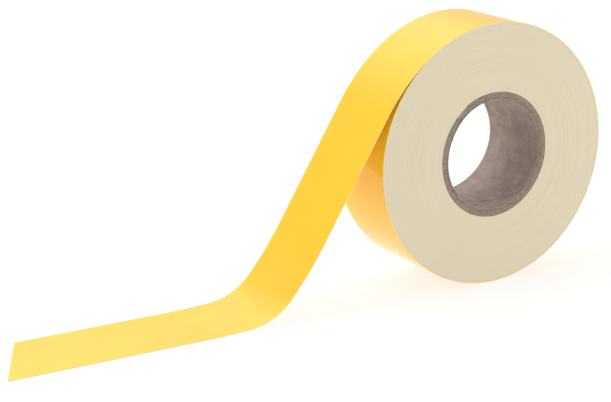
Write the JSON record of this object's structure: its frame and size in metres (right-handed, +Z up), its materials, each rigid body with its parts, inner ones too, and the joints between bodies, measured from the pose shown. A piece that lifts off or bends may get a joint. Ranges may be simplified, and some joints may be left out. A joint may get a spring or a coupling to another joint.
{
  "type": "electrical tape roll",
  "caption": "Roll of glossy yellow adhesive tape on a paperboard core, standing on its rim, with the free end drawn off over the top and lying flat.",
  "frame": {"origin": "centre of the core's bore, midway between the two side faces", "axes": "+Y along the roll's axis, +Z up, and the free end of the tape lies towards -X"},
  "size_m": [0.147, 0.019, 0.06],
  "materials": {
    "film": "glossy yellow vinyl film",
    "adhesive": "cream rubber adhesive, satin and tacky",
    "wound_side": "cream slit edges of the wound tape, with fine rings",
    "core_paper": "grey-brown recycled paperboard, matt and mottled"
  },
  "bodies": {
    "drawn_tape": {"outer_turn_film": "film", "outer_turn_adhesive": "adhesive", "free_run_film": "film", "free_run_adhesive": "adhesive"},
    "roll": {"wound_tape": "wound_side", "core_outer_ply": "core_paper", "core_ply_4": "core_paper", "core_ply_3": "core_paper", "core_ply_2": "core_paper", "core_liner_ply": "core_paper"},
    "tape_end": {"tape_end_film": "film", "tape_end_adhesive": "adhesive"}
  },
  "joints": [
    {"name": "roll_spin", "type": "hinge", "parent": "drawn_tape", "child": "roll", "pos_m": [0, 0, 0], "axis": [0, -1, 0], "range_deg": [0, 360]},
    {"name": "tape_feed", "type": "slide", "parent": "drawn_tape", "child": "tape_end", "axis": [-1, 0, 0], "range_m": [0, 0.1885]}
  ],
  "couplings": [
    {"joint": "tape_feed", "follows": "roll_spin", "m_per_rad": 0.0299}
  ]
}
